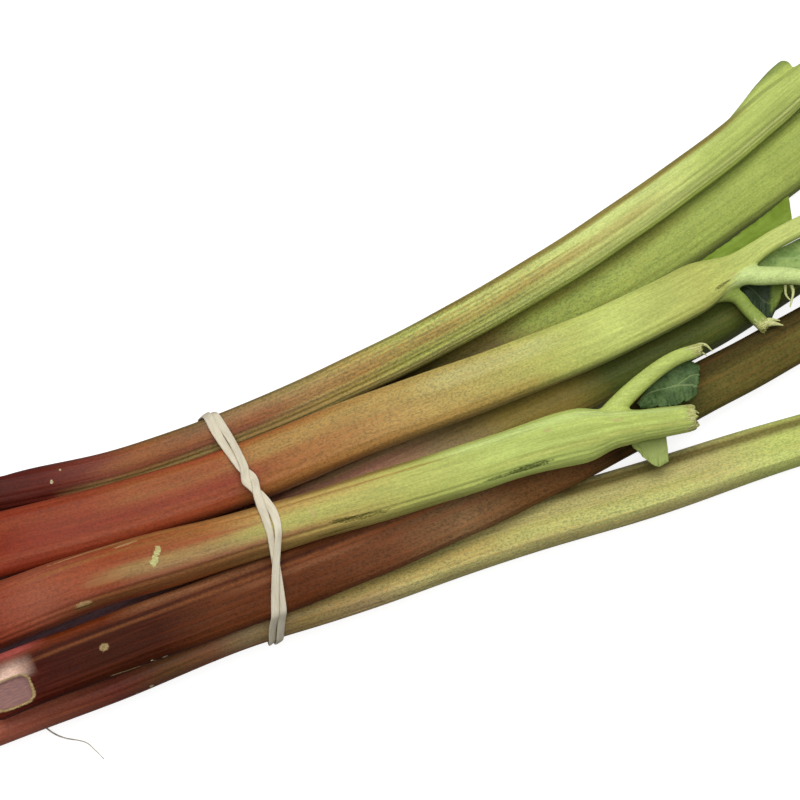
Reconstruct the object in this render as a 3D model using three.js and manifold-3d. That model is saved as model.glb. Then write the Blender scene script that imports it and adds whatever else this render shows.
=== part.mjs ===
// A bunch of seven cut rhubarb stalks held by a doubled rubber band, lying on a table.
// Millimetres, +Z up. +X runs from the butts towards the leaf ends, and the origin is the
// middle of the bunch's footprint. Each stalk is one solid: a D-shaped leaf stalk with
// ribs, swept along its own bent path, with a flared butt and the stubs of its leaf veins.
import * as THREE from "three";
import Module from "manifold-3d";

const wasm = await Module();
wasm.setup();
const { Manifold, Mesh } = wasm;

// ---- driving dimensions -------------------------------------------------------------

const SECTION_SIDES = 32; // points round a stalk
const STALK_STATIONS = 20; // rings along a stalk between its two ends
const RIB_HEIGHT = 0.22; // lengthwise ribs, half of their height
const CROWN = 0.88; // how far the flat face stands from the middle, in half thicknesses
const HOLLOW = 0.1; // depth of the flat face's hollow, in half thicknesses
const BUTT_FLARE = 0.03; // the butt is wider by this share
const BUTT_FLARE_LENGTH = 20;
const BUTT_SCOOP = 3.2; // the torn butt is scooped on its flat face
const BUTT_SCOOP_LENGTH = 15;
const END_BEVEL = 1.6; // rounding of the cut ends
const VEIN_SIDES = 12;
const TUBE_STATIONS = 8;

const BAND_X = -101; // where the band passes under the middle of the bunch
const BAND_SKEW = 0.06; // the far side is nearer the leaf ends by this much per mm of width
const BAND_BULGE = 11; // the top is nearer the leaf ends by this much
const BUNCH_HEIGHT = 48; // at the band
const STRAND_WIDTH = 3.2;
const STRAND_THICK = 0.8;
const BAND_CLEARANCE = 1;
const BAND_STATIONS = 46; // rings in one turn; the band goes round twice
const BAND_HALF_TWISTS = 7; // odd, so that the two turns are one closed band
const STRAND_SWAY = 2.3; // sideways travel of a strand as the two twist
const STRAND_LIFT = 1.1; // outward travel of a strand as the two cross

const BLADE_THICK = 0.7;

// path: points along the middle of the stalk, butt first.
// roll: degrees about the path, 0 with the flat face up and 180 with it down.
// girth: [share of the length, half width, half thickness].
// veins: stubs of the leaf's veins, as points, with their radii at the root and the tip.
const STALKS = [
  {
    name: "stalk_a_far",
    color: 0x8f8a45,
    roll: -75,
    path: [
      [-190, 35.4, 17.8], [-135, 23.8, 21.2], [-79, 20.4, 24.4], [-24, 22.6, 26],
      [32, 29.2, 26.2], [87, 40, 25.4], [143, 55.1, 24], [198, 73.6, 22.6],
    ],
    girth: [[0, 10, 9], [0.3, 9.4, 9], [0.7, 9.4, 9.6], [0.93, 9, 9.2], [1, 7.6, 7.6]],
    veins: [
      { points: [[150, 59, 24], [166, 68, 25], [180, 76, 24.5], [190, 80.5, 23]], radii: [4.4, 3.6] },
    ],
  },
  {
    name: "stalk_b_far_under",
    color: 0xa3ad58,
    roll: 186,
    path: [
      [-197, 5.4, 6.9], [-133, 3.8, 9.2], [-74, 4.9, 10.2], [-16, 10.5, 8.8],
      [43, 18.5, 7.6], [101, 28.1, 7.1], [160, 42.6, 7.3], [218, 59.2, 8.4],
    ],
    girth: [[0, 11.6, 8.5], [0.35, 11.2, 8.4], [0.6, 12, 8.5], [0.74, 13.4, 8.5], [1, 14.2, 8.6]],
    veins: [],
  },
  {
    name: "stalk_c_broad",
    color: 0xb09a55,
    roll: 8,
    path: [
      [-203, 11.6, 28.7], [-150, 3.4, 30], [-96, -1.6, 30.7], [-42, -1.4, 29.8],
      [12, -3, 28.4], [66, -2.6, 26.8], [120, 2.8, 26], [146, 7.6, 26.6], [179, 9.6, 27],
    ],
    girth: [
      [0, 12.6, 9.4], [0.3, 12, 9.2], [0.6, 11.2, 8.6], [0.8, 10.4, 8],
      [0.868, 4.6, 5.4], [0.9, 3.9, 4.7], [1, 4.2, 4.3],
    ],
    veins: [
      {
        points: [[112, -1, 26], [125, -1.4, 26.6], [133, -5.4, 27.2], [146, -12, 27.8], [154, -17.4, 27]],
        radii: [4.4, 3.4],
      },
      { points: [[108, -3, 25], [119.5, -6.8, 23], [122.5, -13.6, 21], [126, -23.8, 20]], radii: [3.3, 2.7] },
    ],
  },
  {
    name: "stalk_d_under",
    color: 0x6b5a30,
    roll: 176,
    path: [
      [-212, -20, 6.7], [-157, -20.8, 9], [-102, -19.8, 10.3], [-47, -18.1, 9.6],
      [7, -15.3, 8.5], [62, -12.4, 7.5], [117, -7.4, 6.9], [172, 2.5, 6.6],
    ],
    girth: [[0, 11, 8.6], [0.3, 11.7, 8.5], [0.7, 11, 8.5], [1, 9.4, 8.3]],
    veins: [],
  },
  {
    name: "stalk_e_short",
    color: 0xa9b455,
    roll: 182,
    path: [
      [-210, -15.9, 28.5], [-162, -19.5, 34.6], [-115, -26.8, 39.7], [-67, -32.2, 40.9],
      [-19, -36.7, 39.6], [28, -40.5, 36.9], [77.6, -51.2, 33.5],
    ],
    girth: [
      [0, 12, 8.6], [0.2, 11.2, 8.4], [0.42, 9.3, 8], [0.72, 9.6, 7.6], [0.84, 10.6, 7.6],
      [0.895, 7, 6.8], [0.935, 5.9, 5.8], [1, 5.3, 5],
    ],
    veins: [
      {
        points: [
          [43, -39.6, 35.5], [52.2, -35.2, 36.5], [65.3, -30.6, 38], [78.7, -27.6, 38.5],
          [91, -27.4, 37.2],
        ],
        radii: [4.3, 2.7],
      },
    ],
  },
  {
    name: "stalk_f_brown",
    color: 0x6e4527,
    roll: 14,
    path: [
      [-212, -43.2, 30.2], [-157, -44.7, 29.1], [-102, -47, 28.8], [-48, -47.8, 26.9],
      [7, -45.2, 23], [62, -39.3, 17.9], [116, -32.9, 12.4], [171, -24.6, 7.6],
    ],
    girth: [[0, 11.2, 8], [0.3, 11.6, 7.5], [0.6, 10.4, 7.3], [1, 10.2, 7.3]],
    veins: [],
  },
  {
    name: "stalk_g_near",
    color: 0xa58f4e,
    roll: -20,
    path: [
      [-221, -45.6, 9.2], [-168, -49, 11.3], [-115, -50.2, 12.6], [-62, -54.9, 11.7],
      [-8, -57.8, 10.1], [45, -63.3, 9.2], [98, -67.8, 8.6], [151, -73.1, 8.4],
    ],
    girth: [[0, 12.4, 8.8], [0.35, 11.9, 8.7], [0.7, 11.9, 8.6], [1, 9.9, 8]],
    veins: [],
  },
];

// rails: the two long edges of a scrap of leaf, from the fork outwards.
const BLADES = [
  {
    name: "leaf_c_back",
    rails: [
      [[112, 9.5, 17], [133.5, 12, 18], [145, 12.9, 19.5], [158.1, 13.5, 20]],
      [
        [113, 14.2, 15], [122, 16.8, 14.3], [131.2, 19.2, 13.4], [139, 21.3, 12.8],
        [153.5, 25.3, 12.2], [166.2, 29, 12],
      ],
    ],
    wave: 0.5,
  },
  {
    name: "leaf_c_middle",
    rails: [
      [[128.5, 5, 18.9], [137, 6, 19.2], [146, 5.7, 19.7], [157.7, 6.4, 20], [169.8, 7.1, 20.2]],
      [[128, 2, 18.7], [134, 0.2, 19.4], [141.1, -2.8, 20.5], [149.5, -8.6, 20.8], [156.4, -14.6, 21]],
    ],
    wave: 0.9,
  },
  {
    name: "leaf_c_front",
    rails: [
      [[126.5, -2.9, 20.2], [134.5, -6.2, 20.8], [141.5, -10.4, 21.2]],
      [[123.5, -7.6, 18], [124.5, -13.5, 16.8], [127.5, -20, 16.6], [131.5, -20.2, 17.8], [136, -16.4, 19.4]],
    ],
    wave: 0.9,
  },
  {
    name: "leaf_e_upper",
    rails: [
      [[59.8, -36.6, 32.4], [66.9, -32.6, 32.6], [77.4, -28.9, 33], [86, -28.7, 33.2], [89.4, -32.5, 33]],
      [[60.2, -39, 31.4], [64.6, -40.4, 31.2], [71.5, -42.4, 31], [77.5, -43.6, 31], [83.9, -42.3, 31]],
    ],
    wave: 1.1,
  },
  {
    name: "leaf_e_lower",
    rails: [
      [[51.2, -47.8, 27.6], [57.2, -50.5, 27.6], [65.4, -52.2, 27.6]],
      [[51.4, -50.5, 27.2], [54.2, -57, 26], [57, -61.4, 25], [62.3, -61.4, 24.8]],
    ],
    wave: 0.5,
  },
];

const ROOT_HAIR = {
  points: [
    [-197, -59.6, 2.6], [-193.5, -63, 0.9], [-187, -67.5, 0.7], [-184.3, -72.4, 0.7],
    [-182.8, -76, 0.7],
  ],
  radii: [0.5, 0.4],
};

const LEAF_COLOR = 0x5d7c3c;
const RUBBER_COLOR = 0xd9cdb0;
const HAIR_COLOR = 0xcfc8b4;

// ---- stalks -------------------------------------------------------------------------

// A value from a table of [share, a, b, ...] rows, joined by smooth steps.
function fromTable(table, share, column) {
  let row = 1;
  while (row < table.length - 1 && share > table[row][0]) row += 1;
  const [from, to] = [table[row - 1], table[row]];
  const t = THREE.MathUtils.smoothstep(share, from[0], to[0]);
  return THREE.MathUtils.lerp(from[column], to[column], t);
}

// The path of a stalk, with the directions across it: side along the stalk's width and
// face out of its flat face.
function stalkPath(stalk) {
  const curve = new THREE.CatmullRomCurve3(
    stalk.path.map((p) => new THREE.Vector3(...p)), false, "catmullrom", 0.5);
  const roll = THREE.MathUtils.degToRad(stalk.roll);
  const length = curve.getLength();
  const frameAt = (share) => {
    const at = curve.getPointAt(share);
    const along = curve.getTangentAt(share);
    const side = new THREE.Vector3(0, 0, 1).cross(along).normalize();
    side.applyAxisAngle(along, roll);
    const face = along.clone().cross(side);
    return { at, along, side, face };
  };
  return { length, frameAt };
}

// A point of the D-shaped section: a round back with ribs, a flat face with a hollow.
function sectionPoint(angle, halfWidth, halfThick, scoop) {
  const [c, s] = [Math.cos(angle), Math.sin(angle)];
  const rib = 1 + (RIB_HEIGHT / halfThick) * Math.cos((angle * SECTION_SIDES) / 2);
  const across = Math.sign(c) * Math.abs(c) ** 0.85;
  if (s <= 0) {
    return [halfWidth * across * rib, halfThick * s * rib];
  }
  const inside = (1 - across * across) ** 2;
  const crown = CROWN * halfThick * Math.abs(s) ** 0.6;
  return [halfWidth * across * rib, crown - inside * (HOLLOW * halfThick + scoop)];
}

function stalkRing(stalk, path, share, shrink) {
  const frame = path.frameAt(share);
  const fromButt = share * path.length;
  const flare = 1 + BUTT_FLARE * Math.exp(-((fromButt / BUTT_FLARE_LENGTH) ** 2));
  const scoop = BUTT_SCOOP * Math.exp(-((fromButt / BUTT_SCOOP_LENGTH) ** 2));
  const halfWidth = fromTable(stalk.girth, share, 1) * flare * shrink;
  const halfThick = fromTable(stalk.girth, share, 2) * shrink;
  const ring = [];
  for (let i = 0; i < SECTION_SIDES; i += 1) {
    const [u, v] = sectionPoint((2 * Math.PI * i) / SECTION_SIDES, halfWidth, halfThick, scoop);
    ring.push(frame.at.clone().addScaledVector(frame.side, u).addScaledVector(frame.face, v));
  }
  return ring;
}

function stalkBody(stalk) {
  const path = stalkPath(stalk);
  const bevel = END_BEVEL / path.length;
  const rings = [stalkRing(stalk, path, 0, 0.86)];
  for (let i = 0; i <= STALK_STATIONS; i += 1) {
    const share = bevel + ((1 - 2 * bevel) * i) / STALK_STATIONS;
    rings.push(stalkRing(stalk, path, share, 1));
  }
  rings.push(stalkRing(stalk, path, 1, 0.86));
  return solidFromRings(rings);
}

// A round tube along its points, with a rounded tip: a vein stub or the root hair.
function tubeBody({ points, radii }, sides) {
  const curve = new THREE.CatmullRomCurve3(
    points.map((p) => new THREE.Vector3(...p)), false, "catmullrom", 0.5);
  const rings = [];
  for (let i = 0; i <= TUBE_STATIONS; i += 1) {
    const share = i / TUBE_STATIONS;
    const tip = i === TUBE_STATIONS ? 0.75 : 1;
    const radius = THREE.MathUtils.lerp(radii[0], radii[1], share) * tip;
    const at = curve.getPointAt(share);
    const along = curve.getTangentAt(share);
    const side = new THREE.Vector3(0, 0, 1).cross(along).normalize();
    const face = along.clone().cross(side);
    const ring = [];
    for (let k = 0; k < sides; k += 1) {
      const angle = (2 * Math.PI * k) / sides;
      ring.push(at.clone()
        .addScaledVector(side, radius * Math.cos(angle))
        .addScaledVector(face, radius * Math.sin(angle)));
    }
    rings.push(ring);
  }
  return solidFromRings(rings);
}

// What dips below the table is cut flat: these are the spots that the bunch rests on.
function buildStalk(stalk) {
  let solid = stalkBody(stalk);
  for (const vein of stalk.veins) {
    solid = solid.add(tubeBody(vein, VEIN_SIDES));
  }
  return solid.trimByPlane([0, 0, 1], 0);
}

// ---- solids and meshes --------------------------------------------------------------

// A closed solid from rings of points, each ring turning the same way about the path.
function solidFromRings(rings) {
  const sides = rings[0].length;
  const points = rings.flat();
  const triangles = [];
  for (let r = 0; r < rings.length - 1; r += 1) {
    for (let i = 0; i < sides; i += 1) {
      const [a, b] = [r * sides + i, r * sides + ((i + 1) % sides)];
      triangles.push(a, b, b + sides, a, b + sides, a + sides);
    }
  }
  addCap(points, triangles, 0, sides, true);
  addCap(points, triangles, (rings.length - 1) * sides, sides, false);
  return toManifold(points, triangles);
}

// Closes a ring with a fan round its middle.
function addCap(points, triangles, first, sides, facesBack) {
  const middle = new THREE.Vector3();
  for (let i = 0; i < sides; i += 1) middle.addScaledVector(points[first + i], 1 / sides);
  points.push(middle);
  const hub = points.length - 1;
  for (let i = 0; i < sides; i += 1) {
    const [a, b] = [first + i, first + ((i + 1) % sides)];
    if (facesBack) {
      triangles.push(hub, b, a);
    } else {
      triangles.push(hub, a, b);
    }
  }
}

function toManifold(points, triangles) {
  const mesh = new Mesh({
    numProp: 3,
    vertProperties: Float32Array.from(points.flatMap((p) => [p.x, p.y, p.z])),
    triVerts: Uint32Array.from(triangles),
  });
  return new Manifold(mesh);
}

function toMesh(name, solid, color, roughness) {
  const { vertProperties, triVerts, numProp } = solid.getMesh();
  const positions = new Float32Array((vertProperties.length / numProp) * 3);
  for (let i = 0; i < positions.length / 3; i += 1) {
    for (let k = 0; k < 3; k += 1) positions[3 * i + k] = vertProperties[numProp * i + k];
  }
  const geometry = new THREE.BufferGeometry();
  geometry.setAttribute("position", new THREE.BufferAttribute(positions, 3));
  geometry.setIndex(new THREE.BufferAttribute(triVerts, 1));
  geometry.computeVertexNormals();
  const material = new THREE.MeshStandardMaterial({ color, roughness, metalness: 0 });
  const mesh = new THREE.Mesh(geometry, material);
  mesh.name = name;
  return mesh;
}

// ---- rubber band --------------------------------------------------------------------

const bandX = (y, z) => BAND_X + BAND_SKEW * y + BAND_BULGE * (z / BUNCH_HEIGHT) ** 2;

// The outline of a stalk, as [y, z], where the leaning band crosses it.
function outlineAtBand(stalk) {
  const path = stalkPath(stalk);
  let [low, high] = [0, 1];
  for (let i = 0; i < 24; i += 1) {
    const middle = (low + high) / 2;
    const { at } = path.frameAt(middle);
    if (at.x < bandX(at.y, at.z)) {
      low = middle;
    } else {
      high = middle;
    }
  }
  return stalkRing(stalk, path, low, 1).map((p) => [p.y, p.z]);
}

// The convex hull of points [y, z], counter-clockwise, by Andrew's chain.
function convexHull(points) {
  const sorted = [...points].sort((a, b) => a[0] - b[0] || a[1] - b[1]);
  const turn = (o, a, b) => (a[0] - o[0]) * (b[1] - o[1]) - (a[1] - o[1]) * (b[0] - o[0]);
  const chain = (list) => {
    const hull = [];
    for (const p of list) {
      while (hull.length > 1 && turn(hull[hull.length - 2], hull[hull.length - 1], p) <= 0) {
        hull.pop();
      }
      hull.push(p);
    }
    hull.pop();
    return hull;
  };
  return [...chain(sorted), ...chain(sorted.reverse())];
}

// Points at equal steps round a closed outline, with their outward directions.
function walkOutline(hull, steps) {
  const corners = hull.map(([y, z]) => new THREE.Vector2(y, z));
  const next = (i) => corners[(i + 1) % corners.length];
  const lengths = corners.map((p, i) => p.distanceTo(next(i)));
  const total = lengths.reduce((sum, l) => sum + l, 0);
  const walk = [];
  let [edge, passed] = [0, 0];
  for (let i = 0; i < steps; i += 1) {
    const target = (total * i) / steps;
    while (passed + lengths[edge] < target) {
      passed += lengths[edge];
      edge += 1;
    }
    walk.push(corners[edge].clone().lerp(next(edge), (target - passed) / lengths[edge]));
  }
  return walk.map((p, i) => {
    const before = walk[(i + steps - 1) % steps];
    const after = walk[(i + 1) % steps];
    const along = after.clone().sub(before).normalize();
    return { y: p.x, z: p.y, out: new THREE.Vector2(along.y, -along.x) };
  });
}

// A strand's section, as [across, out] in widths and thicknesses.
const STRAND_OUTLINE = [
  [0.5, 0.2], [0.4, 0.5], [-0.4, 0.5], [-0.5, 0.2],
  [-0.5, -0.2], [-0.4, -0.5], [0.4, -0.5], [0.5, -0.2],
];

// One closed strand that goes round the bunch twice, twisting about itself.
function buildBand() {
  const hull = convexHull(STALKS.flatMap(outlineAtBand));
  const walk = walkOutline(hull, BAND_STATIONS);
  const points = [];
  const triangles = [];
  const sides = STRAND_OUTLINE.length;
  const rings = 2 * BAND_STATIONS;
  for (let r = 0; r < rings; r += 1) {
    const { y, z, out } = walk[r % BAND_STATIONS];
    const twist = (Math.PI * BAND_HALF_TWISTS * r) / BAND_STATIONS;
    const sway = STRAND_SWAY * Math.cos(twist);
    const lift = BAND_CLEARANCE + STRAND_THICK / 2 + (STRAND_LIFT * (1 + Math.sin(twist))) / 2;
    for (const [across, outward] of STRAND_OUTLINE) {
      const reach = lift + outward * STRAND_THICK;
      const [width, height] = [y + out.x * reach, z + out.y * reach];
      const x = bandX(width, height) + sway + across * STRAND_WIDTH;
      points.push(new THREE.Vector3(x, width, height));
    }
    for (let i = 0; i < sides; i += 1) {
      const [a, b] = [r * sides + i, r * sides + ((i + 1) % sides)];
      const ahead = ((r + 1) % rings) * sides;
      const [c, d] = [ahead + i, ahead + ((i + 1) % sides)];
      triangles.push(a, b, d, a, d, c);
    }
  }
  return toManifold(points, triangles);
}

// ---- leaf remnants ------------------------------------------------------------------

// A torn scrap of leaf between two rails, waved across, as a thin closed solid.
function buildBlade({ rails, wave }) {
  const [steps, rows] = [8, 5];
  const curves = rails.map((rail) => new THREE.CatmullRomCurve3(
    rail.map((p) => new THREE.Vector3(...p)), false, "catmullrom", 0.5));
  const middle = [];
  for (let i = 0; i <= steps; i += 1) {
    for (let k = 0; k <= rows; k += 1) {
      const [u, v] = [i / steps, k / rows];
      const p = curves[0].getPointAt(u).lerp(curves[1].getPointAt(u), v);
      p.z += wave * Math.sin(Math.PI * v) * Math.sin(2.4 * Math.PI * u + 1.5 * v);
      middle.push(p);
    }
  }
  const at = (i, k) => middle[i * (rows + 1) + k];
  const clamp = THREE.MathUtils.clamp;
  const points = [[], []];
  for (let i = 0; i <= steps; i += 1) {
    for (let k = 0; k <= rows; k += 1) {
      const du = at(clamp(i + 1, 0, steps), k).clone().sub(at(clamp(i - 1, 0, steps), k));
      const dv = at(i, clamp(k + 1, 0, rows)).clone().sub(at(i, clamp(k - 1, 0, rows)));
      const normal = du.cross(dv).normalize();
      points[0].push(at(i, k).clone().addScaledVector(normal, BLADE_THICK / 2));
      points[1].push(at(i, k).clone().addScaledVector(normal, -BLADE_THICK / 2));
    }
  }
  const count = middle.length;
  const triangles = [];
  const quad = (a, b, c, d) => triangles.push(a, b, c, a, c, d);
  const index = (i, k) => i * (rows + 1) + k;
  for (let i = 0; i < steps; i += 1) {
    for (let k = 0; k < rows; k += 1) {
      quad(index(i, k), index(i + 1, k), index(i + 1, k + 1), index(i, k + 1));
      quad(count + index(i, k), count + index(i, k + 1),
        count + index(i + 1, k + 1), count + index(i + 1, k));
    }
    quad(index(i, 0), count + index(i, 0), count + index(i + 1, 0), index(i + 1, 0));
    quad(index(i, rows), index(i + 1, rows), count + index(i + 1, rows), count + index(i, rows));
  }
  for (let k = 0; k < rows; k += 1) {
    quad(index(0, k), index(0, k + 1), count + index(0, k + 1), count + index(0, k));
    quad(index(steps, k), count + index(steps, k),
      count + index(steps, k + 1), index(steps, k + 1));
  }
  return toManifold(points.flat(), triangles);
}

// ---- the bunch ----------------------------------------------------------------------

const bunch = new THREE.Group();
for (const stalk of STALKS) {
  bunch.add(toMesh(stalk.name, buildStalk(stalk), stalk.color, 0.45));
}
bunch.add(toMesh("rubber_band", buildBand(), RUBBER_COLOR, 0.6));
for (const blade of BLADES) {
  bunch.add(toMesh(blade.name, buildBlade(blade), LEAF_COLOR, 0.6));
}
bunch.add(toMesh("root_hair", tubeBody(ROOT_HAIR, 6), HAIR_COLOR, 0.7));

export default bunch;
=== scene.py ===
"""A bunch of rhubarb stalks in a doubled rubber band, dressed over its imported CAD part.

Lengths in the tables are millimetres, as in the part's source; meshes are made in metres.
Every stalk is first built straight, in its own space (across, out of its flat face, along),
then bent along its path. Patterns that follow the stalk are laid in that straight space.
"""
import math

import bpy
import numpy as np
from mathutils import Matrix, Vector


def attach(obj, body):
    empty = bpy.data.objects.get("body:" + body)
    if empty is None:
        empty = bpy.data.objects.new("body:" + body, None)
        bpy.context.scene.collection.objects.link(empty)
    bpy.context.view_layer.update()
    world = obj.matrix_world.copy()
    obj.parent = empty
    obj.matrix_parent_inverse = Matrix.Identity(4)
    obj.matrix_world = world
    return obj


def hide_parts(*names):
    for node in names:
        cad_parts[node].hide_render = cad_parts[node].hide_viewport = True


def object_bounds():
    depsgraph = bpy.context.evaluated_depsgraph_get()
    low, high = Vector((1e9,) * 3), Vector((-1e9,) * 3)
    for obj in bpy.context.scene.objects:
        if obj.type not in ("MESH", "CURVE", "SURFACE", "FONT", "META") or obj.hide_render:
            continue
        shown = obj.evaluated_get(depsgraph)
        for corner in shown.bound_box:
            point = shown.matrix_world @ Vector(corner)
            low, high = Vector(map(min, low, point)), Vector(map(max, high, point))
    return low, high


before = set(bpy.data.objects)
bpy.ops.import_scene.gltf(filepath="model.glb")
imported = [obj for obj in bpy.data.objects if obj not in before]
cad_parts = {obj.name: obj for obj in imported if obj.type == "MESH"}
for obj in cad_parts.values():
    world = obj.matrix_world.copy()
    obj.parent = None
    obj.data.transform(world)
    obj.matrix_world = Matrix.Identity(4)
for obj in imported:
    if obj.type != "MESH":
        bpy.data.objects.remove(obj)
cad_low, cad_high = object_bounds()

MM = 0.001  # metres in a millimetre

# ---- dimensions shared with the CAD part ----
CROWN = 0.88
HOLLOW = 0.1
BUTT_FLARE, BUTT_FLARE_LENGTH = 0.03, 20.0
BUTT_SCOOP, BUTT_SCOOP_LENGTH = 3.2, 15.0
BAND_X, BAND_SKEW, BAND_BULGE, BUNCH_HEIGHT = -101.0, 0.06, 11.0, 48.0
STRAND_WIDTH, STRAND_THICK = 3.2, 0.8
BAND_BOW = 1.5  # how far the band bows towards the butts at the two sides of the bunch
BAND_CROSSINGS = (0.06, 0.2, 0.32, 0.45, 0.656, 0.705, 0.83)  # shares of the way round
STRAND_SWAY, STRAND_LIFT, STRAND_TILT = 1.7, 0.9, 0.25

# path: the middle of the stalk, butt first. roll: degrees about the path, 0 face up.
# girth: [share of the length, half width, half thickness]. veins: points and radii.
STALKS = {
    "stalk_a_far": dict(
        roll=-75,
        path=[(-190, 35.4, 17.8), (-135, 23.8, 21.2), (-79, 20.4, 24.4), (-24, 22.6, 26),
              (32, 29.2, 26.2), (87, 40, 25.4), (143, 55.1, 24), (198, 73.6, 22.6)],
        girth=[(0, 10, 9), (0.3, 9.4, 9), (0.7, 9.4, 9.6), (0.93, 9, 9.2), (1, 7.6, 7.6)],
        veins=[dict(points=[(150, 59, 24), (166, 68, 25), (180, 76, 24.5), (190, 80.5, 23)],
               radii=(4.4, 3.6), whole=True)],
    ),
    "stalk_b_far_under": dict(
        roll=186,
        path=[(-197, 5.4, 6.9), (-133, 3.8, 9.2), (-74, 4.9, 10.2), (-16, 10.5, 8.8), (43, 18.5, 7.6),
              (101, 28.1, 7.1), (160, 42.6, 7.3), (218, 59.2, 8.4)],
        girth=[(0, 11.6, 8.5), (0.35, 11.2, 8.4), (0.6, 12, 8.5), (0.74, 13.4, 8.5), (1, 14.2, 8.6)],
        veins=[],
    ),
    "stalk_c_broad": dict(
        roll=8,
        path=[(-203, 11.6, 28.7), (-150, 3.4, 30), (-96, -1.6, 30.7), (-42, -1.4, 29.8), (12, -3, 28.4),
              (66, -2.6, 26.8), (120, 2.8, 26), (146, 7.6, 26.6), (179, 9.6, 27)],
        girth=[(0, 12.6, 9.4), (0.3, 12, 9.2), (0.6, 11.2, 8.6), (0.8, 10.4, 8), (0.868, 4.6, 5.4),
               (0.9, 3.9, 4.7), (1, 4.2, 4.3)],
        veins=[dict(points=[(112, -1, 26), (125, -1.4, 26.6), (133, -5.4, 27.2), (146, -12, 27.8),
               (154, -17.4, 27)], radii=(4.4, 3.4)), dict(points=[(108, -3, 25), (119.5, -6.8, 23),
               (122.5, -13.6, 21), (126, -23.8, 20)], radii=(3.3, 2.7))],
    ),
    "stalk_d_under": dict(
        roll=176,
        path=[(-212, -20, 6.7), (-157, -20.8, 9), (-102, -19.8, 10.3), (-47, -18.1, 9.6),
              (7, -15.3, 8.5), (62, -12.4, 7.5), (117, -7.4, 6.9), (172, 2.5, 6.6)],
        girth=[(0, 11, 8.6), (0.3, 11.7, 8.5), (0.7, 11, 8.5), (1, 9.4, 8.3)],
        veins=[],
    ),
    "stalk_e_short": dict(
        roll=182,
        path=[(-210, -15.9, 28.5), (-162, -19.5, 34.6), (-115, -26.8, 39.7), (-67, -32.2, 40.9),
              (-19, -36.7, 39.6), (28, -40.5, 36.9), (77.6, -51.2, 33.5)],
        girth=[(0, 12, 8.6), (0.2, 11.2, 8.4), (0.42, 9.3, 8), (0.72, 9.6, 7.6), (0.84, 10.6, 7.6),
               (0.895, 7, 6.8), (0.935, 5.9, 5.8), (1, 5.3, 5)],
        veins=[dict(points=[(43, -39.6, 35.5), (52.2, -35.2, 36.5), (65.3, -30.6, 38),
               (78.7, -27.6, 38.5), (91, -27.4, 37.2)], radii=(4.3, 2.7))],
    ),
    "stalk_f_brown": dict(
        roll=14,
        path=[(-212, -43.2, 30.2), (-157, -44.7, 29.1), (-102, -47, 28.8), (-48, -47.8, 26.9),
              (7, -45.2, 23), (62, -39.3, 17.9), (116, -32.9, 12.4), (171, -24.6, 7.6)],
        girth=[(0, 11.2, 8), (0.3, 11.6, 7.5), (0.6, 10.4, 7.3), (1, 10.2, 7.3)],
        veins=[],
    ),
    "stalk_g_near": dict(
        roll=-20,
        path=[(-221, -45.6, 9.2), (-168, -49, 11.3), (-115, -50.2, 12.6), (-62, -54.9, 11.7),
              (-8, -57.8, 10.1), (45, -63.3, 9.2), (98, -67.8, 8.6), (151, -73.1, 8.4)],
        girth=[(0, 12.4, 8.8), (0.35, 11.9, 8.7), (0.7, 11.9, 8.6), (1, 9.9, 8)],
        veins=[],
    ),
}


# ---- paths and sections ----
def catmull_rom(points, per_span=32):
    """A uniform Catmull-Rom curve through the points, as many close points."""
    p = np.array(points, float)
    p = np.vstack([2 * p[0] - p[1], p, 2 * p[-1] - p[-2]])
    t = (np.arange(per_span) / per_span)[:, None]
    spans = []
    for a, b, c, d in zip(p, p[1:], p[2:], p[3:]):
        spans.append(0.5 * (2 * b + (c - a) * t + (2 * a - 5 * b + 4 * c - d) * t ** 2
                            + (3 * b - a - 3 * c + d) * t ** 3))
    return np.vstack(spans + [p[-2:-1]])


def evenly(points, count):
    """The same curve at equal steps along it, and its length."""
    steps = lengths(np.diff(points, axis=0))
    passed = np.concatenate([[0], np.cumsum(steps)])
    s = np.linspace(0, passed[-1], count)
    even = np.stack([np.interp(s, passed, points[:, k]) for k in range(points.shape[1])], 1)
    return even, passed[-1]


def unit(v):
    return v / np.linalg.norm(v, axis=-1, keepdims=True)


def clamp(values):
    return np.clip(values, 0, 1)


def lengths(rows):
    return np.linalg.norm(rows, axis=1)


def turns(count):
    """Equal steps of a full turn, in radians."""
    return 2 * math.pi * np.arange(count) / count


def smooth(share):
    return share * share * (3 - 2 * share)


PATH_STEPS = 900


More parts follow.
